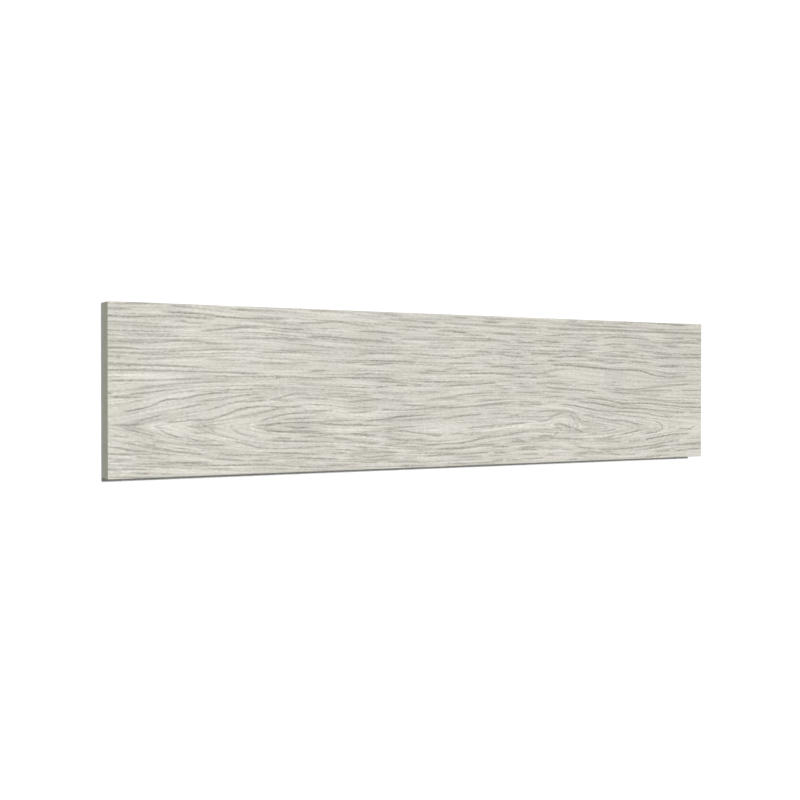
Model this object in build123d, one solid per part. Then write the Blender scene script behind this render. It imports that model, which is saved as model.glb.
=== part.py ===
"""A wood-grained mineral composite panel: one square-cut board, lying on its back with its face up.

Millimetres. X runs along the panel, Y across it and Z up out of the face. The origin is the
centre of the back, which is the side that is bedded on a wall or floor.
"""

import os

from build123d import *

# Driving dimensions
LENGTH = 900.0
WIDTH = 200.0
THICKNESS = 28.0
EASED_RADIUS = 1.0  # rounding of the face's rim and of the four upright corners


def make_panel():
    """The board, with its face rim and upright corners eased and its back rim left square."""
    with BuildPart() as panel:
        with BuildSketch(Plane.XY):
            Rectangle(LENGTH, WIDTH)
        extrude(amount=THICKNESS)
        face_rim = panel.faces().sort_by(Axis.Z)[-1].edges()
        upright_corners = panel.edges().filter_by(Axis.Z)
        fillet(face_rim + upright_corners, EASED_RADIUS)
    panel.part.label = "panel"
    return panel.part


os.makedirs("parts", exist_ok=True)
export_step(make_panel(), "parts/panel.step")
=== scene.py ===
"""The looks of a wood-grained mineral composite panel that lies face up on a pale studio floor.

Blender's side is in metres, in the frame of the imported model: X along the panel, Y across it
and Z up out of the face. The grain is worked out in millimetres on the face, as `along`, from
the left end, and `down`, from the upper long edge.
"""

import math

import bpy
import numpy as np
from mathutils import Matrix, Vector


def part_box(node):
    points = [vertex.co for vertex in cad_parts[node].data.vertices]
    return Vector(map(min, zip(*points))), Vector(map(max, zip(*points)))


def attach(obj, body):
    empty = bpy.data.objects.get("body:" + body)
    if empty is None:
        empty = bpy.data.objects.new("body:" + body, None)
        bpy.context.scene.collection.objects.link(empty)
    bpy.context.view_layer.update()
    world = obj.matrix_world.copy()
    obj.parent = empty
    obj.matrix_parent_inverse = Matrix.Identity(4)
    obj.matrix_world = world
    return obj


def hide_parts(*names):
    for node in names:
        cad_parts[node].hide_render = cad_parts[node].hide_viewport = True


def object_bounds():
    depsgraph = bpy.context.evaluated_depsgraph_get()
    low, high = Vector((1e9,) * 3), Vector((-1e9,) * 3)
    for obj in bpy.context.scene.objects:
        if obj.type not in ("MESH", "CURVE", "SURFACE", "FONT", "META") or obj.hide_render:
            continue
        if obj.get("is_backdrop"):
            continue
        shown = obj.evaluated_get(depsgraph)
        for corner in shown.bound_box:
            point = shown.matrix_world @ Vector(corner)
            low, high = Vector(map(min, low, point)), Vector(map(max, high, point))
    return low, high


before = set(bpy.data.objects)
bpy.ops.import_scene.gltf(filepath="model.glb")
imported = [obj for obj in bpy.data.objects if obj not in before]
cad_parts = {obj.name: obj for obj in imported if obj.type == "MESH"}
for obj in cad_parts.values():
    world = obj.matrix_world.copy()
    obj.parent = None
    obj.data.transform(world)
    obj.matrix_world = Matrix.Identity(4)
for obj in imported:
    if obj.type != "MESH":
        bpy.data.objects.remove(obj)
cad_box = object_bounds()

# Sizes, in millimetres
MM = 0.001
low_corner, high_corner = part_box("panel")
LENGTH, WIDTH, THICKNESS = ((b - a) / MM for a, b in zip(low_corner, high_corner))
EASED_RADIUS = 1.0  # rounding of the face's rim and of the upright corners

# Mesh of the panel: cells of the face, steps round its rim and corners, and rows of its edges
FACE_COLUMNS = 300
FACE_ROWS = 290
COLUMN_SAMPLES = 8  # places tried to a column
KNOT_COLUMNS = 1.5  # how much closer the columns come at the knot, and over what length
KNOT_COLUMNS_REACH = 40.0
RIM_STEPS = 3
CORNER_STEPS = 3
EDGE_ROWS = 4
FACE, BODY = 0, 1  # the order of the two materials

# Where the heart of the grain lies, (along, down), and how far the rings have tapered there
HEART = (
    (0, 140), (100, 141), (190, 143), (300, 149), (400, 152),
    (500, 150), (580, 148), (640, 150), (780, 154), (900, 154),
)
TAPER = (
    (0, 27), (100, 14), (190, 2), (300, -3), (450, -5),
    (600, -4), (690, 0), (790, 13), (840, 18), (900, 20),
)
TAPER_REACH_ABOVE = 46.0  # how far from the heart the taper is felt
TAPER_REACH_BELOW = 33.0
TAPER_POWER = 1.5  # how sharply it ends there
HEART_ROUNDING = 0.7
KNOT_PLACE = (640.0, 142.0)
KNOT_HALF_SIZE = (23.0, 10.0)
KNOT_LIFT = 11.0  # how far the rings lift over the small knot
# The light beside each dark line is a painted highlight, standing in for the lit flank of a pressed groove
PAINTED_HIGHLIGHT_OFFSET = 1.1  # how far the light beside a dark line lies from it
SIDE_UNIT = 40.0  # how far from the heart the grain's two sides differ by one unit
GRAIN_START = (0.75, 0.65)  # where the grain's own measures begin on the face, (along, down)

# The longer dark lines of the grain: darkness in tenths, then (along, down) points
GRAIN_LINES = (
    # upper part, left to right
    (8, (-12, 15.5), (30, 16), (60, 14.5), (128, 15.5)),
    (9, (60, 9.5), (100, 10), (140, 13), (222, 13)),
    (7, (225, 18), (255, 16.5), (275, 14), (298, 15), (315, 17.3), (345, 18.3)),
    (8, (103, 30.5), (140, 27), (160, 24.5), (187, 25.5)),
    (8, (240, 34), (262, 33), (300, 34.7), (325, 35.7), (345, 36.6), (360, 37.3)),
    (7, (-12, 44), (60, 44), (75, 42.5), (135, 44)),
    (6, (-12, 55.5), (40, 56.5), (85, 54), (120, 51.5), (180, 49.5)),
    (7, (-12, 68.5), (60, 70.5), (115, 73)),
    (7, (-12, 76.5), (60, 76.5), (105, 77.5), (187, 79.5)),
    (6, (160, 66), (210, 66.5), (250, 65.5)),
    (8, (188, 86), (225, 83), (240, 84), (300, 83.4), (328, 83.4), (370, 84.2)),
    (6, (225, 91), (270, 94), (320, 96), (338, 96.5)),
    (7, (385, 52), (410, 52.5), (430, 54), (448, 54.7), (460, 56.5), (478, 54), (500, 53.2)),
    (7, (485, 47.8), (508, 48.2), (528, 49.8), (545, 52.8), (578, 53.8)),
    (8, (408, 73), (420, 74), (450, 76.3), (457, 78)),
    (8, (472, 77.3), (486, 77), (510, 76.2), (535, 77), (560, 78.7)),
    (8, (435, 94.5), (455, 93.2), (480, 92.3), (510, 90.3), (535, 88.3)),
    (7, (435, 10.8), (455, 11.2), (480, 12), (510, 12.6), (545, 13), (600, 13.3)),
    (7, (603, 13.3), (640, 13.8), (660, 13.7), (690, 12.4), (740, 12.7), (790, 13.8), (912, 13.5)),
    (9, (705, 25.5), (720, 23.6), (735, 22.7), (785, 24.3), (802, 26)),
    (6, (760, 32), (790, 34), (820, 36)),
    (10, (612, 64), (650, 64.6), (675, 66.3), (735, 69.8), (785, 72), (800, 76), (820, 79), (875, 78)),
    (6.5, (725, 97), (770, 98), (800, 95), (835, 93), (880, 89)),
    # upper arms of the left cathedral
    (5, (30, 97), (75, 92.5), (150, 88)),
    (8, (12, 123.5), (28, 122), (48, 117), (66, 110.5), (85, 109), (108, 104.5), (150, 101)),
    (6, (100, 113), (130, 110.5), (165, 105), (185, 103)),
    (7, (110, 123.5), (135, 117.5), (150, 114), (178, 112), (203, 109.5), (225, 104.3), (250, 103)),
    (6, (25, 137), (45, 131.5), (75, 123.5)),
    (8, (60, 137), (95, 134.3), (122, 133), (140, 127.5), (158, 121.5), (180, 119), (220, 120), (242, 118)),
    (7, (176, 138), (198, 132), (219, 128), (250, 125.3), (270, 124.6), (285, 123)),
    # lower arms of the left cathedral
    (7, (12, 141), (30, 146), (60, 154)),
    (7, (52, 140), (72, 151), (90, 155)),
    (6, (82, 146), (97, 156), (130, 159)),
    (6, (140, 143), (165, 153), (183, 156)),
    (7, (187, 139), (190, 148), (203, 149.3), (220, 149.5), (268, 150.5)),
    (6, (30, 160), (60, 166), (85, 171), (120, 176)),
    (7, (140, 158.5), (155, 161), (182, 168.5), (200, 169.7), (235, 169.8), (265, 168.8), (290, 169.8)),
    (7, (80, 186), (112, 187), (135, 187.8), (160, 188.3), (185, 188.8), (207, 190), (232, 193)),
    # middle, lower part
    (9, (318, 139.5), (345, 136.5), (361, 135.5), (371, 133.2), (395, 132), (425, 129.8)),
    (8, (430, 137.5), (443, 136.5), (465, 133.7), (480, 132.6), (510, 131)),
    (8, (335, 124), (405, 124), (425, 122), (458, 121.7), (490, 120.2), (515, 118),
     (545, 116), (560, 115.3)),
    (7, (412, 112), (432, 110.8), (456, 107.7), (478, 104.3), (495, 103.5), (530, 102.2)),
    (9, (296, 153.7), (312, 154), (325, 155.2), (350, 157)),
    (9, (346, 152), (380, 151.8), (398, 154.3), (412, 156), (425, 158), (446, 158.5)),
    (7, (296, 162.5), (308, 163.5), (322, 165), (352, 167.5)),
    (9, (473, 150), (496, 148.6), (510, 147.3), (545, 146.2), (558, 145.2), (580, 143)),
    (9, (404, 171.3), (447, 169.5), (470, 169), (486, 166.5), (505, 162.7), (532, 160.5), (583, 154.7)),
    (7, (296, 177.3), (320, 178), (340, 178.3), (378, 179.3)),
    (8, (408, 184.3), (428, 184.3), (440, 183.6), (480, 183.6), (500, 183), (520, 183.7)),
    # right cathedral and the knot beside it
    (7, (600, 94), (615, 95.7), (628, 96.7), (642, 97.6), (700, 101)),
    (9, (670, 109), (717, 113.5), (745, 118), (790, 118.5), (830, 121.8), (860, 124.3), (912, 126)),
    (8, (660, 115), (700, 118.5), (740, 125), (770, 126), (800, 128), (845, 132.5), (875, 133)),
    (8, (625, 118), (650, 120), (672, 123.5), (700, 128.5), (745, 130.5), (790, 133),
     (820, 138), (850, 140)),
    (7, (587, 130), (610, 128), (629, 128), (648, 129), (656, 131.5), (669, 137.5)),
    (7, (680, 136), (700, 138), (720, 142), (755, 144), (770, 149), (781, 154)),
    (7, (781, 154), (765, 160), (740, 163)),
    (8, (800, 143.5), (810, 146), (817, 148.5), (822, 153.5), (812, 160), (795, 162), (780, 164.5)),
    (7, (700, 160), (735, 155)),
    (8, (686, 168.5), (714, 167.8), (724, 166), (735, 165)),
    (9, (780, 172), (795, 170.5), (808, 168.5), (834, 165.8), (855, 164.5), (880, 164)),
    (9, (697, 184), (760, 183.5), (780, 182), (800, 180.3), (828, 176.3), (862, 173)),
    (8, (847, 157), (862, 156.5), (875, 157), (885, 154), (893, 152)),
)
# Shorter dark lines between them
SHORT_LINES = (
    # upper part, left
    (6, (73, 1.5), (95, 2.5)), (7, (147, 4), (175, 3.5), (207, 3.5)), (7, (-8, 7), (21, 7)),
    (7, (78, 20.5), (85, 19.5), (95, 21), (110, 20.5)), (5, (-12, 22), (60, 23)),
    (7, (20, 35.5), (54, 35.5), (75, 34.5)), (7, (150, 38), (185, 37), (220, 36.5), (250, 38.5)),
    (5, (205, 25), (250, 24.5)), (8, (182, 54), (236, 53)), (8, (-10, 51), (31, 51.5)),
    (7, (-6, 60.5), (19, 63)), (5, (25, 64), (45, 63.5), (69, 62.5)), (8, (3, 88.5), (54, 88)),
    (5, (78, 86.5), (113, 85)), (8, (-6, 103), (14, 103)), (6, (177, 94), (200, 95)),
    (7, (250, 76), (268, 75)), (5, (250, 2), (272, 1.5)), (5, (288, 2.5), (306, 3)),
    (4, (262, 23.5), (280, 23)), (6, (205, 51), (277, 50)), (4, (119, 62.5), (154, 64)),
    (5, (194, 26.5), (217, 29)),
    # upper part, middle
    (5, (305, 3.5), (320, 5.5), (350, 6)), (7, (351, 1.5), (371, 3.5)), (6, (357, 8.5), (398, 9)),
    (7, (410, 11), (428, 11.7)), (4, (348, 14.2), (360, 14)), (6, (381, 17), (432, 17.3)),
    (10, (432, 21.3), (450, 21), (464, 22), (476, 22.7)), (5, (371, 21), (409, 22)),
    (6, (412, 21.5), (422, 21.5)), (7, (312, 25.6), (335, 25), (357, 25.8), (373, 26.5)),
    (6, (424, 26), (436, 26.8), (448, 27)), (6, (473, 25.5), (498, 26.5)),
    (7, (351, 33.3), (362, 35), (373, 35.5)), (6, (376, 34.5), (404, 33.2)),
    (7, (503, 31.9), (536, 33.2), (550, 35)), (9, (560, 33.9), (584, 33.5)),
    (8, (592, 31), (607, 31)), (5, (419, 37.5), (454, 36.5)), (4, (447, 40.5), (466, 39.7)),
    (4, (476, 41.5), (488, 41.3)), (4, (512, 43.3), (524, 43)), (5, (534, 43.8), (560, 43)),
    (4, (548, 39), (590, 38.5)), (4, (360, 46), (376, 46.3)), (5, (318, 49.3), (334, 49)),
    (8, (316, 54.3), (335, 52.8), (356, 52.4), (383, 53.5)), (4, (304, 57), (312, 57)),
    (7, (557, 49.4), (570, 49)), (5, (530, 48.3), (545, 47.8)),
    (8, (575, 48.7), (594, 48.4), (619, 48.2)), (6, (340, 61.5), (352, 61.3)),
    (5, (358, 61.5), (375, 62.5)), (8, (322, 67), (340, 66.4), (361, 65)),
    (5, (300, 64.3), (315, 64.3)), (6, (385, 63), (396, 63.7)), (4, (408, 63.5), (430, 64)),
    (6, (454, 64), (486, 63)), (5, (500, 61), (514, 63)), (4, (575, 58.3), (598, 58)),
    (8, (513, 67.8), (532, 67.2), (563, 69)), (6, (443, 72), (458, 71)), (5, (462, 73), (486, 73)),
    (7, (407, 76.5), (418, 76.5)), (5, (457, 78), (468, 77)), (5, (312, 80), (332, 78)),
    (6, (390, 84), (421, 85.5)), (5, (343, 88.3), (374, 87.7)), (8, (370, 93.2), (381, 93.2)),
    (8, (398, 93), (418, 92.6)), (7, (420, 92), (429, 91.5)),
    (6, (432, 89.5), (446, 88.5), (486, 88.3)), (7, (341, 96), (358, 94.5)),
    (5, (488, 88), (503, 87)), (6, (504, 86.2), (518, 87.7)), (5, (536, 86.8), (545, 87)),
    (6, (521, 95), (530, 95)), (7, (535, 97), (543, 97)), (6, (555, 89.9), (579, 90)),
    (7, (582, 90.2), (604, 90)), (5, (563, 94.5), (579, 94.5)), (6, (565, 75.5), (592, 75)),
    (9, (593, 75.2), (606, 75.3)), (7, (561, 81), (570, 81)), (7, (582, 81.5), (597, 81.5)),
    (8, (508, 8), (525, 8.2)), (5, (563, 8), (583, 7.7)), (6, (457, 3), (476, 3.3)),
    (4, (507, 4.5), (548, 2.5)), (7, (524, 23), (555, 23.5)), (5, (568, 22.5), (583, 22.5)),
    (4, (562, 27), (578, 27.2)), (5, (551, 30.5), (564, 31.5)),
    # upper part, right
    (9, (651, 2.3), (666, 2.5)), (7, (669, 3), (690, 2.7), (716, 2)),
    (6, (656, 9.3), (700, 8.5), (746, 8)), (5, (721, 3), (760, 2.5)), (7, (841, 2.5), (864, 2)),
    (6, (760, 7), (798, 8.5)), (5, (798, 10), (825, 9.5)),
    (8, (608, 23.5), (624, 23), (638, 21.7), (653, 20.5)), (5, (649, 25.5), (668, 24.5)),
    (7, (670, 25), (698, 23)), (9, (614, 32.4), (627, 32.4)), (7, (672, 29.7), (694, 28.6)),
    (7, (820, 22.5), (876, 23)), (8, (876, 22.5), (908, 23)),
    (7, (824, 29.5), (850, 28), (893, 28.5)), (8, (709, 34.3), (730, 33.2), (747, 32.8)),
    (6, (725, 37.5), (746, 36.5)), (8, (826, 34), (846, 34)), (6, (598, 38.3), (630, 38.7)),
    (5, (651, 39), (673, 40)), (6, (654, 45), (675, 43), (694, 41)), (6, (702, 47), (729, 44.5)),
    (8, (727, 43.5), (768, 44.5)), (4, (601, 46), (650, 45)), (4, (656, 47.5), (695, 47.5)),
    (5, (660, 49.7), (672, 49.7)), (9, (618, 53.3), (632, 52.7), (648, 51.7), (675, 51.5)),
    (6, (713, 50), (767, 49.5)), (9, (768, 49), (785, 48.5)), (7, (804, 51.5), (834, 51.5)),
    (8, (868, 51), (908, 50.5)), (7, (802, 45), (825, 46.5), (847, 47)),
    (7, (852, 46.5), (910, 45)), (6, (687, 55.7), (713, 57)),
    (7, (714, 60.5), (732, 60), (749, 58.5)), (7, (754, 58), (793, 58.5)),
    (8, (600, 58.2), (624, 58.3)), (5, (635, 61.5), (650, 62.5)), (8, (813, 63.5), (856, 63.5)),
    (5, (865, 64), (908, 65)), (6, (603, 74), (624, 72)), (5, (628, 70), (636, 70)),
    (7, (604, 81), (622, 80)), (6, (817, 73), (838, 74.5), (866, 73)), (5, (716, 88), (733, 88)),
    (4, (722, 92), (742, 92)), (6, (606, 88.5), (639, 90)), (4, (630, 87.5), (640, 86.7)),
    (4, (641, 92), (650, 91.2)), (5, (650, 87), (659, 87)), (4, (612, 101), (632, 101)),
    (5, (666, 91), (699, 91.5)), (7, (725, 102.5), (757, 103.5), (780, 105)), (8, (851, 99.5), (910, 100)),
    # lower part, left
    (6, (18, 103), (44, 103)), (9, (8, 107.5), (39, 107)), (5, (84, 120), (113, 115)),
    (8, (8, 138.5), (35, 138.5)), (5, (26, 157.5), (36, 158)), (8, (27, 160), (40, 161), (55, 163)),
    (8, (5, 163.5), (14, 165), (22, 167), (38, 169)),
    (6, (-8, 170.5), (15, 171.5), (45, 172), (76, 173.5)), (6, (30, 175.5), (62, 178)),
    (7, (78, 160), (104, 163), (140, 164)), (6, (77, 166.5), (95, 168)), (5, (88, 169), (117, 170)),
    (5, (124, 172.5), (145, 174)), (7, (134, 175.5), (165, 176.5), (182, 177.3), (199, 178)),
    (6, (0, 180), (18, 179)), (7, (122, 180), (140, 181), (157, 183)),
    (7, (30, 182.7), (50, 183.5), (72, 183.7), (112, 183.7)), (7, (171, 183), (195, 183.5)),
    (5, (216, 186.3), (236, 186.8)), (6, (222, 192.5), (250, 194)), (6, (-4, 187), (9, 190)),
    (5, (18, 188), (50, 190)), (6, (52, 188), (74, 188.3)), (5, (86, 189.5), (104, 190)),
    (6, (108, 191), (128, 192), (146, 193)), (7, (34, 193.5), (47, 194.5)), (5, (57, 195.5), (68, 196)),
    (8, (190, 174.2), (205, 175), (225, 176.3), (243, 177.5), (262, 178.2)),
    (5, (200, 179.3), (228, 179.5)), (8, (234, 181.5), (261, 183.5), (287, 185.5)),
    (5, (193, 160), (225, 161.5), (280, 163.5)), (8, (203, 157.5), (214, 157.3), (222, 158), (235, 157.5)),
    (7, (236, 157), (248, 156), (268, 155.3), (285, 154)), (9, (219, 143.5), (229, 145), (243, 145)),
    (8, (188, 141), (197, 141)), (8, (212, 134), (230, 134), (243, 133.5), (252, 132)),
    (7, (226, 138.5), (248, 138.5), (262, 138), (280, 137.3), (303, 137.5)),
    (7, (152, 131.5), (165, 129.5), (190, 125), (200, 122.8), (212, 121.5)),
    (6, (198, 111), (218, 112)), (5, (176, 108.3), (186, 107.8)),
    (6, (233, 108), (255, 109), (275, 109.5)), (5, (262, 103.8), (300, 103.5)),
    (5, (99, 142), (107, 142.5)), (5, (97, 149), (118, 149.5)), (5, (113, 141), (125, 147)),
    (6, (5, 151), (18, 152)), (5, (52, 157.5), (72, 160.5)),
    # lower part, middle
    (6, (316, 104.5), (332, 104.3)), (6, (284, 107), (330, 107)), (6, (343, 102.3), (352, 102.3)),
    (4, (378, 102.5), (440, 102.3)), (4, (358, 104.8), (374, 104.5)), (6, (361, 108.5), (376, 108.8)),
    (8, (298, 114), (312, 113.3), (334, 111.5), (345, 110.8), (358, 109)),
    (5, (358, 112.3), (375, 112.5)), (6, (378, 117), (392, 118.8), (406, 119)),
    (5, (302, 121.5), (338, 121)), (7, (299, 127.5), (321, 127), (337, 125)),
    (6, (348, 139.3), (362, 139)), (9, (264, 141), (285, 141.7), (304, 142.3), (335, 143)),
    (4, (408, 137), (428, 136.8)), (4, (372, 146.3), (395, 146.3)), (6, (358, 149.3), (367, 149.3)),
    (5, (318, 151.5), (345, 151.5)), (5, (440, 111.5), (458, 110.3)),
    (6, (530, 102.3), (543, 102.3)), (5, (557, 102.3), (597, 102.5)),
    (5, (462, 112.5), (474, 112.5)), (6, (498, 111.7), (518, 112.2), (535, 111.5)),
    (9, (582, 118.6), (598, 118.6)), (5, (560, 118.5), (575, 120)), (5, (564, 115.3), (598, 115.5)),
    (4, (488, 123), (530, 122.5)), (6, (512, 131), (530, 130.5), (555, 129.5)),
    (7, (545, 134.3), (558, 133.7)), (4, (515, 135.5), (543, 135.2)),
    (5, (560, 129.5), (580, 128.3)), (8, (449, 158), (462, 156.5), (480, 157.5)),
    (5, (484, 156), (495, 155.5)), (5, (350, 158), (364, 159)),
    (7, (281, 158.5), (290, 159.8), (300, 161.3)), (7, (358, 162.5), (378, 163.3), (390, 164.8)),
    (6, (398, 163), (410, 163)), (6, (356, 168.3), (378, 168.5)), (7, (316, 171), (328, 172.3)),
    (6, (318, 173.5), (336, 174.3)), (6, (390, 172), (402, 172.7)),
    (8, (434, 176.5), (450, 176), (472, 176.5)), (7, (494, 172), (526, 172.5)),
    (8, (495, 174.3), (512, 174.3), (524, 175), (545, 176.2), (555, 177)),
    (7, (545, 168.3), (556, 169), (568, 170.5), (582, 171.3)), (8, (558, 166.5), (566, 167.8)),
    (7, (582, 166.5), (600, 165.5)), (7, (557, 177.3), (603, 177)),
    (7, (560, 180.3), (580, 180.5), (600, 181.3)), (4, (508, 180), (540, 179.5)),
    (7, (282, 178), (294, 177.5)), (5, (395, 178.5), (413, 178)), (6, (303, 181), (322, 181.8)),
    (7, (324, 183), (345, 183.7), (362, 182.7)), (5, (297, 185.8), (312, 186)),
    (5, (340, 187), (365, 186.3)), (5, (383, 186.8), (396, 187)), (7, (462, 187.5), (498, 187.7)),
    (6, (514, 187.5), (525, 187.5)), (6, (568, 187.3), (598, 187.5)), (6, (322, 190.5), (341, 191)),
    (7, (355, 191), (386, 191.5), (410, 192.5)), (7, (274, 192), (312, 192.3)),
    (7, (522, 194), (539, 193)), (5, (545, 193.5), (560, 194)), (5, (570, 193), (603, 192.5)),
    (5, (448, 195.3), (470, 196)), (9, (522, 183.5), (537, 183.7)),
    # lower part, right
    (6, (606, 109), (636, 108)), (6, (651, 112.5), (664, 112.5)), (5, (610, 116.5), (624, 116.5)),
    (6, (785, 100), (815, 99.5), (848, 99.5)), (6, (766, 111.5), (798, 113), (833, 115)),
    (6, (852, 118.2), (910, 117.8)), (5, (799, 107), (814, 107)), (9, (680, 134.7), (687, 134.7)),
    (4, (668, 143.5), (685, 143.5)), (6, (755, 137.5), (770, 138), (787, 140)),
    (4, (853, 139), (895, 138.5)), (6, (876, 132.8), (910, 133)), (8, (601, 162.5), (616, 163)),
    (7, (687, 161.5), (701, 160.5)), (5, (793, 155), (807, 155.5)), (6, (600, 169), (610, 168.8)),
    (6, (637, 166), (657, 168), (678, 169)), (5, (606, 176.5), (633, 178)),
    (6, (649, 174), (664, 175)), (6, (603, 181), (620, 181.5)), (4, (640, 183), (652, 183.5)),
    (7, (662, 178.5), (674, 180.5), (688, 182)), (8, (680, 185), (690, 187), (728, 187.5)),
    (9, (664, 188), (677, 188)), (5, (606, 188), (624, 189)), (5, (662, 191), (672, 192.5)),
    (6, (722, 190), (735, 192), (748, 193.2)), (6, (651, 196.5), (658, 196.5)),
    (6, (712, 173), (745, 174)), (7, (754, 174), (778, 172)), (8, (803, 182.5), (837, 180.8)),
    (8, (840, 181), (910, 180.5)), (7, (868, 179), (908, 178.5)), (8, (808, 190), (839, 188.5)),
    (8, (848, 189), (865, 189)), (8, (868, 187.3), (885, 187), (910, 187.5)),
    (6, (751, 192.8), (768, 192.7)), (7, (868, 172), (908, 171)),
)
# Lines of the knot itself, which the rings round it don't follow
KNOT_LINES = (
    (7, (586, 141.5), (610, 140.5), (620, 135), (632, 131.5), (646, 131)),
    (8, (646, 131), (655, 138), (658, 143), (664, 149)),
    (6, (660, 134), (667, 142), (672, 149)),
    (9, (616, 148), (634, 146.5), (643, 149), (655, 154)),
    (7, (616, 153.5), (630, 152.5), (638, 155.5)),
    (7, (620, 163.5), (623.5, 160), (630, 157.5)),
    (8, (655, 153), (661, 154.5), (668, 157), (676, 160)),
)
LINE_REACH = 2.2  # how far a line is felt to either side, and over what share of that in full
LINE_FULL = 0.7
LINE_FADE = 14.0  # how far it fades in at its ends, or a share of a short line
LINE_FADE_SHARE = 0.25
LINE_STEP = 1.5  # spacing of the points that a line is worked out from
LINE_TAIL = 11.0  # how far a short line runs on at both ends
LINE_APART = 0.8  # lines that lie close together stay clear of each other by this much

# Soft dark smudges in the grain, and pale ones with a minus: (along, down), half sizes, darkness. The wide
# last one over the upper right is painted shade, where the light falls off
SMUDGES_AND_PAINTED_SHADE = (
    (30, 143, 14, 4.5, 0.6), (70, 140, 12, 6, -0.1), (112, 141, 13, 6, 0.9), (150, 141, 12, 5, -0.2),
    (198, 145, 16, 7, 0.7), (225, 138, 20, 4, 0.5), (245, 153, 28, 6, 0.4), (300, 132, 38, 3, -0.8),
    (302, 149, 34, 3, -0.9), (430, 150, 40, 6, -0.6), (530, 140, 25, 2.5, -0.9), (525, 154, 28, 3.5, -0.8),
    (565, 149, 28, 3.5, -0.8), (640, 141, 12, 3, -0.7), (646, 151, 12, 4, 0.8), (662, 157, 12, 3, 0.6),
    (772, 153, 14, 4, 0.6), (45, 83, 40, 3, -0.7), (418, 74, 18, 3, 0.6), (548, 79, 12, 3, 0.7),
    # the wide place at (820, 40) is painted shade: the face darker towards the upper right, as the light
    # falls off there
    (475, 100, 30, 4, -0.4), (445, 164, 25, 3, -0.5), (820, 40, 260, 90, 0.3),
)
# A place almost without lines
CALM_PLACE = (690.0, 87.0)
CALM_HALF_SIZE = (55.0, 9.0)
CALM = 0.8

# Bends that make the rings follow the lines: spacing and reach of their centres, and stiffness
BEND_STEP = (36.0, 12.0)
BEND_REACH = 1.3
BEND_STIFFNESS = 7.0
BEND_SAMPLES = 8.0  # spacing of the points of a line that are brought to one ring
BEND_LOTS = 40  # the face's points are worked through in this many lots
SLOPE_STEP = 2.0  # step over which the rings' slope is read, and the range it is kept to
SLOPE_RANGE = (0.3, 1.4)

# Noise that makes the rings waver: length, thickness, lean, share of the side, size, seed
WAVER = (
    (190.0, 11.0, 0.0, 0.4, 0.9, 1),
    (60.0, 6.0, 0.0, 0.7, 0.45, 2),
    (21.0, 2.5, 0.0, 1.0, 0.45, 3),
    (5.0, 2.0, 0.2, 1.0, 0.65, 16),
)
# Streaks of noise that follow the rings: length, thickness, seed
STREAKS = {
    "band": (230.0, 8.0, 5), "patch": (130.0, 3.2, 6), "cluster": (120.0, 7.0, 15),
    "streak": (60.0, 1.7, 7), "tremble": (24.0, 3.0, 8), "fibre": (6.0, 0.9, 9), "break": (6.0, 1.5, 4),
    "jitter": (5.0, 2.0, 17), "pore": (3.2, 0.42, 12), "fleck": (3.0, 1.8, 14), "crackle": (2.2, 1.6, 18),
    "speckle": (0.8, 0.5, 13),
}
STREAK_LEAN = 0.3
HUE = (55.0, 10.0, 3.0, 11)  # length, thickness, share of the side, seed
SEED_STEP = (37.3, 11.9)  # how far apart two seeds read the noise
RANDOM_STEP = 0.37
# Noise levels between which a part of the grain comes up
PATCH_RANGE = (-0.2, 0.2)
STREAK_RANGE = (-0.3, 0.3)
CLUSTER_RANGE = (-0.35, 0.35)
BREAK_RANGE = (-0.3, 0.0)
DASH_RANGE = (-0.3, 0.1)
HUE_RANGE = (-0.35, 0.35)

# Dark lines of the rings, and of the hairs between them: pitch, width, length, breaks, seed
RING_LINES = (4.7, 1.08, 100.0, (-0.25, 0.2), 20)
HAIR_LINES = (2.9, 0.92, 75.0, (-0.2, 0.25), 30)
RING_SHIFT = 0.5  # range over which a ring's line is shifted, as a share of the pitch
RING_WEAKEST = 0.5
RING_APART = (3.71, 0.35)  # how far apart two rings, and two sides, read the noise of the breaks
DASH_APART = 2.3  # and two rings that of the dashes
DASH_LENGTH = 9.0
DASH_START = 50.0
DASH_DEPTH = 0.35
# share of the painted highlight that the hair lines get
HAIR_PAINTED_HIGHLIGHT = 0.5
CLUSTER_LEAST = 0.75
CLUSTER_GAIN = 0.4
CRACKLE = 0.35
DRAWN_WIDTH = 1.12  # width of the drawn lines, how far they tremble, and how deep their breaks are
TREMBLE = 0.5
JITTER = 0.4
BREAK_DEPTH = 0.3

# Depth of the pressed relief, in millimetres
DRAWN_DEPTH = 0.40
RING_DEPTH = 0.28
HAIR_DEPTH = 0.12
STREAK_DEPTH = 0.08
RELIEF_WIDTH = 1.35  # lines are pressed this much wider than they are coloured
SHARP_ANGLE = 60.0  # degrees

# Surface colours, as sRGB out of 255
CORE_BACK = (175, 175, 167)
CORE_FRONT = (173, 173, 152)
FLOOR_COLOUR = (252, 252, 252)
FLOOR_COLOUR_LIGHT = (254, 254, 254)

# The face's tone, out of 255, and how much each part adds to it: the grain, a painted highlight beside the
# dark lines, and soft smudges with a painted shade over the upper right
TONE_PLAIN = 207.5
TONE_WEIGHTS = {
    "band": 4.5, "patch": 3.5, "streak": 5.0, "fibre": 10.0, "fleck": 6.0, "painted_highlight": 17.0, "ring": -38.0,
    "hair": -24.0, "drawn": -61.0, "smudge_and_painted_shade": -18.0,
}
TONE_RANGE = (110.0, 246.0)
TONE_STOPS = 7
CREAM_TINT = (0.0, -2.7, -13.1)
LILAC_TINT = (0.0, -3.4, -11.0)

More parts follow.
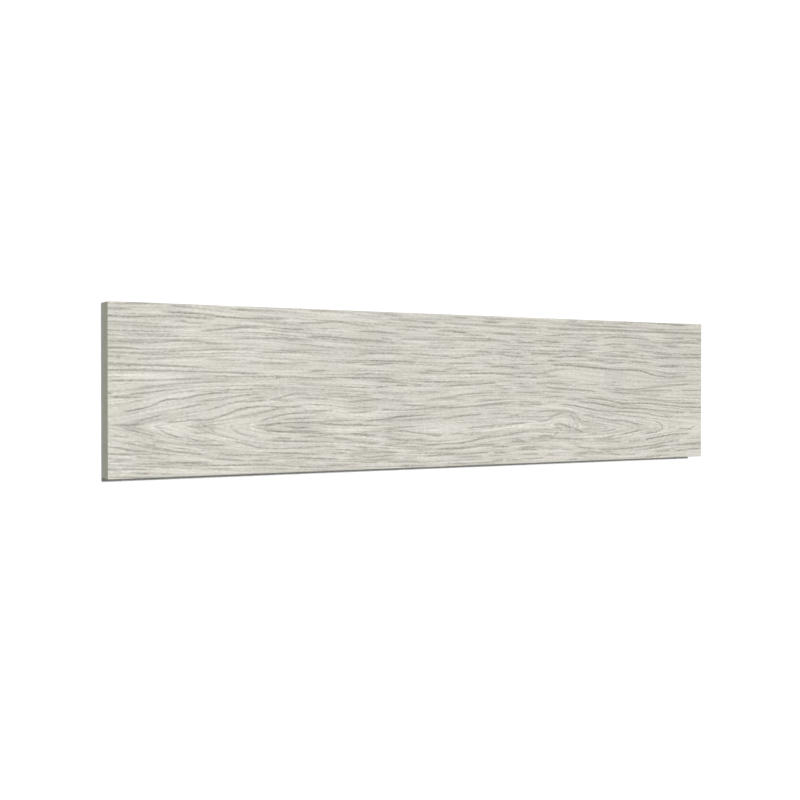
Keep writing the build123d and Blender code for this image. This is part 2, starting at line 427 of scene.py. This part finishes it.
# Roughness, gloss and bump of the face. A bump has a strength, and a distance in millimetres
FACE_ROUGHNESS = 0.68
ROUGHNESS_WEIGHTS = {"ring": 0.12, "drawn": 0.12, "streak": -0.04}
FACE_SPECULAR = 0.3
BUMP_WEIGHTS = {"streak": 0.3, "fibre": 0.4, "pore": 0.35, "speckle": 0.2}
FACE_BUMP = (0.5, 0.1)

# Clouds of the mineral body, as scale and detail, and what each adds to its mix and brightness
CLOUDS = {"grit": (700.0, 3.0), "grains": (230.0, 2.0), "patches": (45.0, 2.0)}
CLOUD_ROUGHNESS = 0.65
MIX_WEIGHTS = {"grit": 0.5, "grains": 0.4, "patches": 0.3}
LEVEL_WEIGHTS = {"grit": 0.4, "grains": 0.16, "patches": 0.08}
CORE_TURN = (0.2, 0.9)  # shares of the thickness between which the back's colour turns into the front's
CORE_ROUGHNESS = 0.86
CORE_ROUGHNESS_WEIGHTS = {"grit": -0.1}
CORE_SPECULAR = 0.25
CORE_BUMP = (0.6, 0.25)

# The floor's mottle, as scale and detail, its roughness and gloss
FLOOR_MOTTLE = (3.0, 3.0)
FLOOR_ROUGHNESS = 0.9
FLOOR_SPECULAR = 0.1

# Camera at the photograph's viewing angle
CAMERA_PLACE = (-0.7809, -0.0002, 1.2779)  # metres
CAMERA_TURN = (-0.487, -29.474, -0.003)  # degrees
CAMERA_LENS = 50.32  # millimetres

# Studio light
WORLD_STRENGTH = 0.15
KEY_STRENGTH = 2.93
KEY_FROM = (0.0, 0.17, 0.985)
KEY_ANGLE = 4.0  # degrees
FLOOR_SIZE = 8.0  # metres, as is the gap
FLOOR_GAP = 0.0002
SEEN_RAYS = ("Is Camera Ray", "Is Glossy Ray", "Is Transmission Ray")

# Places on the bake map, as left, bottom, right, top: the face lies below FACE_MAP_TOP
FACE_MAP_TOP = 0.66
EDGE_MAPS = (
    (0.0, 0.67, 1.0, 0.73),  # lower long edge
    (0.0, 0.81, 0.45, 0.87),  # right end
    (0.0, 0.74, 1.0, 0.80),  # upper long edge
    (0.5, 0.81, 0.95, 0.87),  # left end
)
BACK_MAP = (0.0, 0.88, 1.0, 1.0)


def linear(colour):
    """An sRGB colour out of 255 as a linear colour for a node, with alpha."""
    parts = (c / 255.0 for c in colour)
    return (*(p / 12.92 if p <= 0.04045 else ((p + 0.055) / 1.055) ** 2.4 for p in parts), 1.0)


# The grain as numbers on the face


def smooth_curve(knots_at, knots, at):
    """A smooth curve through a few knots, read at some places."""
    x = np.asarray(knots_at, float)
    y = np.asarray(knots, float)
    slope = np.gradient(y, x)
    i = np.clip(np.searchsorted(x, at) - 1, 0, len(x) - 2)
    span = x[i + 1] - x[i]
    t = (at - x[i]) / span
    start = (2 * t**3 - 3 * t**2 + 1) * y[i] + (t**3 - 2 * t**2 + t) * span * slope[i]
    end = (3 * t**2 - 2 * t**3) * y[i + 1] + (t**3 - t**2) * span * slope[i + 1]
    return start + end


def profile(pairs, along):
    """A curve over the panel's length, from (along, value) pairs."""
    return smooth_curve(*zip(*pairs), along)


def line_path(points, step):
    """Evenly spaced points on a smooth line."""
    p = np.array(points, float)
    run = np.concatenate(([0.0], np.cumsum(np.hypot(*np.diff(p, axis=0).T))))
    at = np.linspace(0.0, run[-1], max(3, int(run[-1] / step) + 1))
    return np.column_stack([smooth_curve(run, p[:, k], at) for k in (0, 1)])


def with_tails(points):
    """A line's points with both ends run on straight."""
    p = np.array(points, float)
    back = p[0] - p[1]
    ahead = p[-1] - p[-2]
    start = p[0] + LINE_TAIL * back / np.hypot(*back)
    end = p[-1] + LINE_TAIL * ahead / np.hypot(*ahead)
    return np.vstack((start, p, end))


def plain_rings(along, down):
    """Growth rings of a log cut along its heart, as a distance in millimetres."""
    below = down - profile(HEART, along)
    away = np.hypot(below, HEART_ROUNDING)
    reach = np.where(below > 0, TAPER_REACH_BELOW, TAPER_REACH_ABOVE)
    from_knot = np.hypot(
        (along - KNOT_PLACE[0]) / KNOT_HALF_SIZE[0], (down - KNOT_PLACE[1]) / KNOT_HALF_SIZE[1]
    )
    taper = profile(TAPER, along) * np.exp(-((away / reach) ** TAPER_POWER))
    return away + taper - KNOT_LIFT * np.exp(-(from_knot**2))


def bend_shapes(along, down):
    """How much each bend is felt at some places."""
    shapes = []
    for at, span, step in ((along, LENGTH, BEND_STEP[0]), (down, WIDTH, BEND_STEP[1])):
        centres = np.arange(-step, span + 2 * step, step)
        shapes.append(np.exp(-(((at[:, None] - centres) / (BEND_REACH * step)) ** 2)))
    return (shapes[0][:, :, None] * shapes[1][:, None, :]).reshape(len(along), -1)


def bend_sizes():
    """Bends that bring each dark line to one ring, so that the grain between them flows along it."""
    rows = []
    wanted = []
    for _, *points in GRAIN_LINES:
        path = line_path(points, BEND_SAMPLES)
        shapes = bend_shapes(*path.T)
        ring = plain_rings(*path.T)
        rows.append(shapes - shapes.mean(0))
        wanted.append(ring.mean() - ring)
    rows = np.vstack(rows)
    stiffness = BEND_STIFFNESS * np.eye(rows.shape[1])
    return np.linalg.solve(rows.T @ rows + stiffness, rows.T @ np.concatenate(wanted))


def bent_rings(along, down):
    """The growth rings, bent to follow the dark lines."""
    sizes = bend_sizes()
    ring = plain_rings(along, down)
    for part in np.array_split(np.arange(len(along)), BEND_LOTS):
        ring[part] += bend_shapes(along[part], down[part]) @ sizes
    return ring


def ramp(low, high, value):
    """0 below low, 1 above high, and smooth between."""
    t = np.clip((value - low) / (high - low), 0.0, 1.0)
    return t * t * (3 - 2 * t)


def ring_slopes(along, down):
    """How fast the rings change across the face: 1 where they lie as plainly cut."""
    steps = ((0.5 * SLOPE_STEP, 0.0), (0.0, 0.5 * SLOPE_STEP))
    slopes = [bent_rings(along + x, down + y) - bent_rings(along - x, down - y) for x, y in steps]
    return np.clip(np.hypot(*slopes) / SLOPE_STEP, *SLOPE_RANGE)


def drawn_lines(along, down):
    """Signed distance to the nearest dark line, and how dark it is there."""
    gap = np.full(len(along), 2 * LINE_REACH)
    dark = np.zeros(len(along))
    nearest = np.full(len(along), 2 * LINE_REACH)
    second = np.full(len(along), 4 * LINE_REACH)
    lines = [(0.0, tenths / 10, points) for tenths, *points in GRAIN_LINES + KNOT_LINES]
    lines += [(LINE_TAIL, tenths / 10, with_tails(points)) for tenths, *points in SHORT_LINES]
    for tail, darkness, points in lines:
        path = line_path(points, LINE_STEP)
        heading = np.gradient(path, axis=0)
        heading /= np.hypot(*heading.T)[:, None]
        low = path.min(0) - LINE_REACH
        high = path.max(0) + LINE_REACH
        near = np.flatnonzero((along > low[0]) & (along < high[0]) & (down > low[1]) & (down < high[1]))
        offset = np.stack((along[near], down[near]), -1)[:, None, :] - path
        k = (offset**2).sum(2).argmin(1)
        offset = offset[np.arange(len(near)), k]
        side = offset[:, 0] * heading[k, 1] - offset[:, 1] * heading[k, 0]
        ends = np.minimum(k, len(path) - 1 - k) * LINE_STEP
        fade_length = tail + min(LINE_FADE, LINE_FADE_SHARE * (LINE_STEP * len(path) - 2 * tail))
        fade = ramp(0.0, fade_length, ends) * ramp(LINE_REACH, LINE_FULL * LINE_REACH, np.abs(side))
        away = np.hypot(*offset.T)
        closer = away < nearest[near]
        second[near] = np.where(closer, nearest[near], np.minimum(second[near], away))
        nearest[near[closer]] = away[closer]
        gap[near[closer]] = side[closer]
        dark[near[closer]] = (darkness * fade)[closer]
    return gap, dark * ramp(0.0, LINE_APART, second - nearest)


def soft_place(along, down, at, below, half_length, half_width):
    """1 at one place, and fading to 0 about it."""
    return np.exp(-(((along - at) / half_length) ** 2) - ((down - below) / half_width) ** 2)


def smudges_and_painted_shade(along, down):
    """Darkness of the soft dark smudges and of the painted shade at the upper right, less that of the pale
    places.
    """
    return sum(darkness * soft_place(along, down, *place) for *place, darkness in SMUDGES_AND_PAINTED_SHADE)


# Nodes


class Value:
    """A number at a node's output, which sums are written with."""

    def __init__(self, graph, socket):
        self.graph = graph
        self.socket = socket

    def __add__(self, other):
        return self.graph.math("ADD", self, other)

    def __sub__(self, other):
        return self.graph.math("SUBTRACT", self, other)

    def __rsub__(self, other):
        return self.graph.math("SUBTRACT", other, self)

    def __mul__(self, other):
        return self.graph.math("MULTIPLY", self, other)

    def __truediv__(self, other):
        return self.graph.math("DIVIDE", self, other)

    __radd__ = __add__
    __rmul__ = __mul__


class Graph:
    """Short calls that add nodes to a material's tree or a Geometry Nodes tree."""

    def __init__(self, tree):
        self.tree = tree

    def feed(self, socket, value):
        if isinstance(value, Value):
            self.tree.links.new(value.socket, socket)
        else:
            socket.default_value = value

    def add(self, kind, inputs, output=0, **settings):
        node = self.tree.nodes.new(kind)
        for name, setting in settings.items():
            setattr(node, name, setting)
        for name, value in inputs.items():
            self.feed(node.inputs[name], value)
        return Value(self, node.outputs[output])

    def math(self, operation, *values):
        return self.add("ShaderNodeMath", dict(enumerate(values)), operation=operation)

    def attribute(self, name):
        if self.tree.type == "GEOMETRY":
            return self.add("GeometryNodeInputNamedAttribute", {"Name": name}, data_type="FLOAT")
        return self.add("ShaderNodeAttribute", {}, "Fac", attribute_name=name)

    def noise(self, x, y, seed):
        """Smooth noise from -1 to 1, with one feature to a unit of x and y."""
        place = self.add("ShaderNodeCombineXYZ", {"X": x + SEED_STEP[0] * seed, "Y": y + SEED_STEP[1] * seed})
        level = self.add(
            "ShaderNodeTexNoise", {"Vector": place, "Scale": 1.0, "Detail": 0.0}, noise_dimensions="2D"
        )
        return level * 2.0 - 1.0

    def random(self, number, seed):
        """A random level from 0 to 1 for each whole number."""
        return self.add("ShaderNodeTexWhiteNoise", {"W": number + RANDOM_STEP * seed}, noise_dimensions="1D")

    def rise(self, low, high, value):
        """0 below low, 1 above high, and smooth between."""
        return self.add(
            "ShaderNodeMapRange",
            {"Value": value, "From Min": low, "From Max": high},
            interpolation_type="SMOOTHSTEP",
        )

    def contrast(self, low, high, value):
        """-1 below low, 1 above high, and smooth between."""
        return self.rise(low, high, value) * 2.0 - 1.0

    def colour_ramp(self, share, colours):
        """Colours evenly spaced from share 0 to share 1."""
        ramp_node = self.tree.nodes.new("ShaderNodeValToRGB")
        stops = ramp_node.color_ramp.elements
        for k in range(1, len(colours) - 1):
            stops.new(k / (len(colours) - 1))
        for stop, colour in zip(stops, colours):
            stop.color = colour
        self.feed(ramp_node.inputs["Fac"], share)
        return Value(self, ramp_node.outputs["Color"])

    def mix_colour(self, share, first, second):
        """The first colour at share 0 and the second at share 1."""
        return self.add("ShaderNodeMix", {0: share, 6: first, 7: second}, 2, data_type="RGBA")

    def bell(self, offset, width):
        """1 where the offset is 0, and close to 0 beyond about twice the width."""
        share = offset / width
        return self.math("EXPONENT", share * share * -1.0)


def ring_lines(graph, lie, widening, pitch, width, length, breaks, seed):
    """Thin dark lines, one to a ring, each broken along its length, and a painted highlight beside them."""
    along, ring, side, slope = lie
    phase = ring / pitch
    number = graph.math("FLOOR", phase)
    shift = graph.random(number, seed) * RING_SHIFT - RING_SHIFT / 2
    offset = (phase - number - 0.5 - shift) * pitch / slope
    weight = graph.random(number, seed + 1) * (1.0 - RING_WEAKEST) + RING_WEAKEST
    across = number * RING_APART[0] + side * RING_APART[1]
    there = graph.rise(*breaks, graph.noise(along / length, across, seed))
    start = graph.random(number, seed + 2) * DASH_START
    dash = graph.noise(along / DASH_LENGTH + start, number * DASH_APART + side, seed + 3)
    dashes = graph.rise(*DASH_RANGE, dash) * DASH_DEPTH + (1.0 - DASH_DEPTH)
    strength = there * weight * dashes
    dark = graph.bell(offset, width * widening) * strength
    # painted highlight: a pale line just past each dark line, where a groove's lit flank would be
    painted_highlight = graph.bell(offset - PAINTED_HIGHLIGHT_OFFSET, width * widening) * strength
    return dark, painted_highlight


def grain(graph, widening):
    """The parts of the grain at each point. Lines and painted highlights are 0 to 1, and the rest about -1 to
    1.
    """
    along = graph.attribute("along")
    plain_ring = graph.attribute("ring")
    side = graph.attribute("side")
    lively = graph.attribute("lively")
    slope = graph.attribute("ring_slope")
    waver = 0.0
    for length, thickness, lean, side_share, size, seed in WAVER:
        place = (along / length + plain_ring * lean, plain_ring / thickness + side * side_share)
        waver = waver + graph.noise(*place, seed) * size
    ring = plain_ring + waver * slope
    lie = (along, ring, side, slope)

    def streaks(name):
        length, thickness, seed = STREAKS[name]
        return graph.noise(along / length + ring * (STREAK_LEAN / thickness), ring / thickness + side, seed)

    gap = graph.attribute("line_gap") + streaks("tremble") * TREMBLE + streaks("jitter") * JITTER
    crackle = streaks("crackle") * CRACKLE + 1.0
    broken = crackle * (graph.rise(*BREAK_RANGE, streaks("break")) * BREAK_DEPTH + (1.0 - BREAK_DEPTH))
    drawn = graph.bell(gap, DRAWN_WIDTH * widening) * graph.attribute("line_dark") * broken
    clustered = graph.rise(*CLUSTER_RANGE, streaks("cluster")) * CLUSTER_GAIN + CLUSTER_LEAST
    cluster = crackle * lively * clustered * (1.0 - drawn)
    ring_dark, ring_painted_highlight = ring_lines(graph, lie, widening, *RING_LINES)
    hair_dark, hair_painted_highlight = ring_lines(graph, lie, widening, *HAIR_LINES)
    hue_length, hue_thickness, hue_side, hue_seed = HUE
    return {
        "band": streaks("band"),
        "patch": graph.contrast(*PATCH_RANGE, streaks("patch")),
        "streak": graph.contrast(*STREAK_RANGE, streaks("streak")),
        "fibre": streaks("fibre"),
        "fleck": streaks("fleck"),
        "ring": ring_dark * cluster,
        # painted highlight beside the ring and hair lines
        "painted_highlight": (ring_painted_highlight + hair_painted_highlight * HAIR_PAINTED_HIGHLIGHT) * lively,
        "hair": hair_dark * cluster,
        "drawn": drawn,
        # soft smudges of the grain, and painted shade over the upper right
        "smudge_and_painted_shade": graph.attribute("smudge_and_painted_shade"),
        "hue": graph.noise(along / hue_length, ring / hue_thickness + side * hue_side, hue_seed),
        "pore": streaks("pore"),
        "speckle": streaks("speckle"),
    }


def weighed(parts, weights, start):
    """A start value, and each named part times its weight."""
    total = start
    for name, weight in weights.items():
        total = total + parts[name] * weight
    return total


def new_material(name):
    """A new material, the graph of its nodes and its shader."""
    material = bpy.data.materials.new(name)
    material.use_nodes = True
    return material, Graph(material.node_tree), material.node_tree.nodes["Principled BSDF"]


def add_bump(graph, shader, height, strength, distance):
    """Fine relief under the mesh's own, with its distance in millimetres."""
    inputs = {"Height": height, "Strength": strength, "Distance": distance * MM}
    graph.feed(shader.inputs["Normal"], graph.add("ShaderNodeBump", inputs))


def face_material():
    """Pale wood grain, in the tones of weathered oak."""
    material, graph, shader = new_material("grained_face")
    parts = grain(graph, 1.0)
    tone = weighed(parts, TONE_WEIGHTS, TONE_PLAIN)
    share = (tone - TONE_RANGE[0]) / (TONE_RANGE[1] - TONE_RANGE[0])
    levels = np.linspace(*TONE_RANGE, TONE_STOPS)[:, None]
    cream, lilac = (
        graph.colour_ramp(share, [linear(level) for level in levels + tint])
        for tint in (CREAM_TINT, LILAC_TINT)
    )
    colour = graph.mix_colour(graph.rise(*HUE_RANGE, parts["hue"]), cream, lilac)
    graph.feed(shader.inputs["Base Color"], colour)
    graph.feed(shader.inputs["Roughness"], weighed(parts, ROUGHNESS_WEIGHTS, FACE_ROUGHNESS))
    shader.inputs["Specular IOR Level"].default_value = FACE_SPECULAR
    add_bump(graph, shader, weighed(parts, BUMP_WEIGHTS, 0.0), *FACE_BUMP)
    return material


def core_material():
    """The grey mineral body, fine and granular, on the cut edges and the back."""
    material, graph, shader = new_material("mineral_core")
    place = graph.add("ShaderNodeTexCoord", {}, "Object")
    clouds = {}
    for name, (scale, detail) in CLOUDS.items():
        inputs = {"Vector": place, "Scale": scale, "Detail": detail, "Roughness": CLOUD_ROUGHNESS}
        clouds[name] = graph.add("ShaderNodeTexNoise", inputs) * 2.0 - 1.0
    height = graph.add("ShaderNodeSeparateXYZ", {"Vector": place}, "Z")
    turn = graph.rise(*(share * THICKNESS * MM for share in CORE_TURN), height)
    tones = [linear(CORE_BACK), linear(CORE_FRONT)]
    body = graph.colour_ramp(weighed(clouds, MIX_WEIGHTS, turn), tones)
    level = weighed(clouds, LEVEL_WEIGHTS, 1.0)
    bright = graph.add("ShaderNodeHueSaturation", {"Color": body, "Value": level})
    graph.feed(shader.inputs["Base Color"], bright)
    graph.feed(shader.inputs["Roughness"], weighed(clouds, CORE_ROUGHNESS_WEIGHTS, CORE_ROUGHNESS))
    shader.inputs["Specular IOR Level"].default_value = CORE_SPECULAR
    add_bump(graph, shader, clouds["grit"] + clouds["grains"], *CORE_BUMP)
    return material


def floor_material():
    """A plain pale studio floor with the faintest mottle."""
    material, graph, shader = new_material("studio_floor")
    place = graph.add("ShaderNodeTexCoord", {}, "Object")
    scale, detail = FLOOR_MOTTLE
    mottle = graph.add("ShaderNodeTexNoise", {"Vector": place, "Scale": scale, "Detail": detail})
    colours = [linear(FLOOR_COLOUR), linear(FLOOR_COLOUR_LIGHT)]
    graph.feed(shader.inputs["Base Color"], graph.colour_ramp(mottle, colours))
    shader.inputs["Roughness"].default_value = FLOOR_ROUGHNESS
    shader.inputs["Specular IOR Level"].default_value = FLOOR_SPECULAR
    return material


# Mesh of the panel


def column_places():
    """Places of the face's columns, from -0.5 to 0.5, closer together at the knot."""
    place = np.linspace(-0.5, 0.5, FACE_COLUMNS * COLUMN_SAMPLES)
    from_knot = (place * LENGTH + LENGTH / 2 - KNOT_PLACE[0]) / KNOT_COLUMNS_REACH
    crowding = np.cumsum(1.0 + KNOT_COLUMNS * np.exp(-(from_knot**2)))
    return np.interp(np.linspace(crowding[0], crowding[-1], FACE_COLUMNS + 1), crowding, place)


def face_grid():
    """Points of the face, row by row from the upper edge, and its four-sided cells."""
    x = column_places() * (LENGTH - 2 * EASED_RADIUS)
    y = np.linspace(0.5, -0.5, FACE_ROWS + 1) * (WIDTH - 2 * EASED_RADIUS)
    x, y = np.meshgrid(x, y)
    points = np.column_stack((x.ravel(), y.ravel(), np.full(x.size, THICKNESS)))
    index = np.arange(x.size).reshape(x.shape)
    corners = (index[1:, :-1], index[1:, 1:], index[:-1, 1:], index[:-1, :-1])
    return points, np.stack([c.ravel() for c in corners], -1), index


def rim_sides(index):
    """The face's outer points as (point, outward angle), side by side, counter-clockwise."""
    runs = ((-90, index[-1]), (0, index[::-1, -1]), (90, index[0, ::-1]), (180, index[:, 0]))
    sides = []
    for angle, points in runs:
        fan = [(points[-1], angle + 90 * k / CORNER_STEPS) for k in range(1, CORNER_STEPS)]
        sides.append([(point, angle) for point in points] + fan)
    return sides


def rim_levels():
    """Rings of points from the face down to the back, as (way out, height, share of the relief)."""
    turns = [math.radians(90 * k / RIM_STEPS) for k in range(1, RIM_STEPS + 1)]
    rim = [
        (EASED_RADIUS * math.sin(t), THICKNESS - EASED_RADIUS * (1 - math.cos(t)), math.cos(t)) for t in turns
    ]
    drops = [1 - k / EDGE_ROWS for k in range(1, EDGE_ROWS + 1)]
    return rim + [(EASED_RADIUS, (THICKNESS - EASED_RADIUS) * drop, 0.0) for drop in drops]


def rim_points(face, sides):
    """Where the face's outer points are, the rings of points below them, and their shares of the relief."""
    entries = [entry for side in sides for entry in side]
    at = np.array([point for point, _ in entries])
    angle = np.radians([turn for _, turn in entries])
    outward = np.column_stack((np.cos(angle), np.sin(angle), np.zeros(len(at))))
    rings = []
    press = []
    for out, height, share in rim_levels():
        ring = face[at] + out * outward
        ring[:, 2] = height
        rings.append(ring)
        press.append(np.full(len(at), share))
    return at, rings, press


def edge_bands(sides, rings):
    """Polygons of the rim and the edges, one side after another, with map places and materials."""
    count = len(rings[0])
    depth = np.linspace(1.0, 0.0, len(rings))
    first = 0
    for side, (left, bottom, right, top) in zip(sides, EDGE_MAPS):
        spread = np.linspace(left, right, len(side) + 1)
        for k, (upper, lower) in enumerate(zip(rings, rings[1:])):
            v_upper, v_lower = bottom + depth[k : k + 2] * (top - bottom)
            for j in range(len(side)):
                i = first + j
                n = (i + 1) % count
                u_start, u_end = spread[j : j + 2]
                corners = [lower[i], lower[n], upper[n], upper[i]]
                spots = [(u_start, v_lower), (u_end, v_lower), (u_end, v_upper), (u_start, v_upper)]
                if upper[i] == upper[n]:
                    corners.pop()
                    spots.pop()
                yield tuple(map(int, corners)), tuple(spots), FACE if k < RIM_STEPS else BODY
        first += len(side)


def back_polygon(points, ring):
    """The back, in one flat polygon, with its map places and material."""
    left, bottom, right, top = BACK_MAP
    spread = points[ring, :2] / (LENGTH, WIDTH) + 0.5
    spots = tuple((right + u * (left - right), bottom + v * (top - bottom)) for u, v in spread.tolist())
    return tuple(ring.tolist()), spots, BODY


def panel_shape():
    """Points, their shares of the relief, and the polygons with their map places and materials."""
    face, cells, index = face_grid()
    sides = rim_sides(index)
    at, lower_points, lower_press = rim_points(face, sides)
    points = np.vstack([face, *lower_points])
    press = np.concatenate([np.ones(len(face)), *lower_press])
    rings = [at] + [len(face) + k * len(at) + np.arange(len(at)) for k in range(len(lower_points))]

    face_map = (face[:, :2] / (LENGTH, WIDTH) + 0.5) * (1.0, FACE_MAP_TOP)
    spots = [tuple(map(tuple, corners)) for corners in face_map[cells].tolist()]
    shape = [(tuple(cell), places, FACE) for cell, places in zip(cells.tolist(), spots)]
    shape += edge_bands(sides, rings)
    shape.append(back_polygon(points, rings[-1][::-1]))
    return points, press, *zip(*shape)


def make_panel():
    """The panel's mesh, with the grain's numbers on its points."""
    points, press, polygons, places, materials = panel_shape()
    mesh = bpy.data.meshes.new("grained_panel")
    mesh.from_pydata((points * MM).tolist(), [], polygons)
    mesh.polygons.foreach_set("material_index", materials)
    bake_map = mesh.uv_layers.new(name="OFBake")
    flat = [number for corners in places for spot in corners for number in spot]
    bake_map.data.foreach_set("uv", flat)

    along = points[:, 0] + LENGTH / 2 - GRAIN_START[0]
    down = WIDTH / 2 - points[:, 1] - GRAIN_START[1]
    gap, dark = drawn_lines(along, down)
    numbers = {
        "along": along,
        "ring": bent_rings(along, down),
        "side": (down - profile(HEART, along)) / SIDE_UNIT,
        "line_gap": gap,
        "line_dark": dark,
        "ring_slope": ring_slopes(along, down),
        # smudges of the grain, and painted shade over the upper right
        "smudge_and_painted_shade": smudges_and_painted_shade(along, down),
        "lively": 1.0 - CALM * soft_place(along, down, *CALM_PLACE, *CALM_HALF_SIZE),
        "press": press,
    }
    for name, values in numbers.items():
        attribute = mesh.attributes.new(name, "FLOAT", "POINT")
        attribute.data.foreach_set("value", values.astype(np.float32))
    for material in (face_material(), core_material()):
        mesh.materials.append(material)
    mesh.shade_smooth()
    mesh.validate()
    panel = bpy.data.objects.new("grained_panel", mesh)
    bpy.context.scene.collection.objects.link(panel)
    return panel


def press_grain(panel):
    """Presses the grain into the face as real relief, no higher than the plain face."""
    tree = bpy.data.node_groups.new("pressed_grain", "GeometryNodeTree")
    for way in ("INPUT", "OUTPUT"):
        tree.interface.new_socket("Geometry", in_out=way, socket_type="NodeSocketGeometry")
    graph = Graph(tree)
    parts = grain(graph, RELIEF_WIDTH)
    depth = (
        parts["drawn"] * DRAWN_DEPTH
        + parts["ring"] * RING_DEPTH
        + parts["hair"] * HAIR_DEPTH
        + (1.0 - parts["streak"]) * (0.5 * STREAK_DEPTH)
    )
    depth = graph.math("MAXIMUM", depth, 0.0)
    offset = graph.add("ShaderNodeCombineXYZ", {"Z": depth * graph.attribute("press") * -MM})
    whole = graph.add("NodeGroupInput", {})
    pressed = graph.add("GeometryNodeSetPosition", {"Geometry": whole, "Offset": offset})
    graph.feed(tree.nodes.new("NodeGroupOutput").inputs[0], pressed)
    modifier = panel.modifiers.new("pressed_grain", "NODES")
    modifier.node_group = tree
    depsgraph = bpy.context.evaluated_depsgraph_get()
    shaped = bpy.data.meshes.new_from_object(
        panel.evaluated_get(depsgraph), preserve_all_data_layers=True, depsgraph=depsgraph
    )
    panel.modifiers.clear()
    panel.data = shaped
    shaped.set_sharp_from_angle(angle=math.radians(SHARP_ANGLE))


def make_floor():
    """The studio floor, just under the panel's back."""
    half = FLOOR_SIZE / 2
    mesh = bpy.data.meshes.new("floor")
    corners = ((-half, -half), (half, -half), (half, half), (-half, half))
    mesh.from_pydata([(x, y, -FLOOR_GAP) for x, y in corners], [], [(0, 1, 2, 3)])
    mesh.materials.append(floor_material())
    floor = bpy.data.objects.new("floor", mesh)
    bpy.context.scene.collection.objects.link(floor)
    floor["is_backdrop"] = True


def make_lights():
    """A soft key from above the upper long edge, and an even white surround."""
    key = bpy.data.lights.new("key", "SUN")
    key.energy = KEY_STRENGTH
    key.angle = math.radians(KEY_ANGLE)
    lamp = bpy.data.objects.new("key", key)
    lamp.rotation_euler = Vector(KEY_FROM).to_track_quat("Z", "Y").to_euler()
    bpy.context.scene.collection.objects.link(lamp)

    world = bpy.data.worlds.new("surround")
    world.use_nodes = True
    bpy.context.scene.world = world
    graph = Graph(world.node_tree)
    seen = [graph.add("ShaderNodeLightPath", {}, ray) for ray in SEEN_RAYS]
    shown = graph.math("MINIMUM", seen[0] + seen[1] + seen[2], 1.0)
    background = world.node_tree.nodes["Background"]
    background.inputs["Color"].default_value = (1.0, 1.0, 1.0, 1.0)
    graph.feed(background.inputs["Strength"], shown * (1.0 - WORLD_STRENGTH) + WORLD_STRENGTH)


def make_camera():
    """The camera at the photograph's viewing angle."""
    lens = bpy.data.cameras.new("camera")
    lens.lens = CAMERA_LENS
    camera = bpy.data.objects.new("camera", lens)
    camera.location = CAMERA_PLACE
    camera.rotation_euler = [math.radians(turn) for turn in CAMERA_TURN]
    bpy.context.scene.collection.objects.link(camera)
    bpy.context.scene.camera = camera


panel = make_panel()
press_grain(panel)
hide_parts("panel")
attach(panel, "root")
make_floor()
make_lights()
make_camera()
bpy.context.scene.view_settings.view_transform = "Standard"

boxes = {"cad": cad_box, "visual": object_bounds()}
{name: [list(corner) for corner in box] for name, box in boxes.items()}
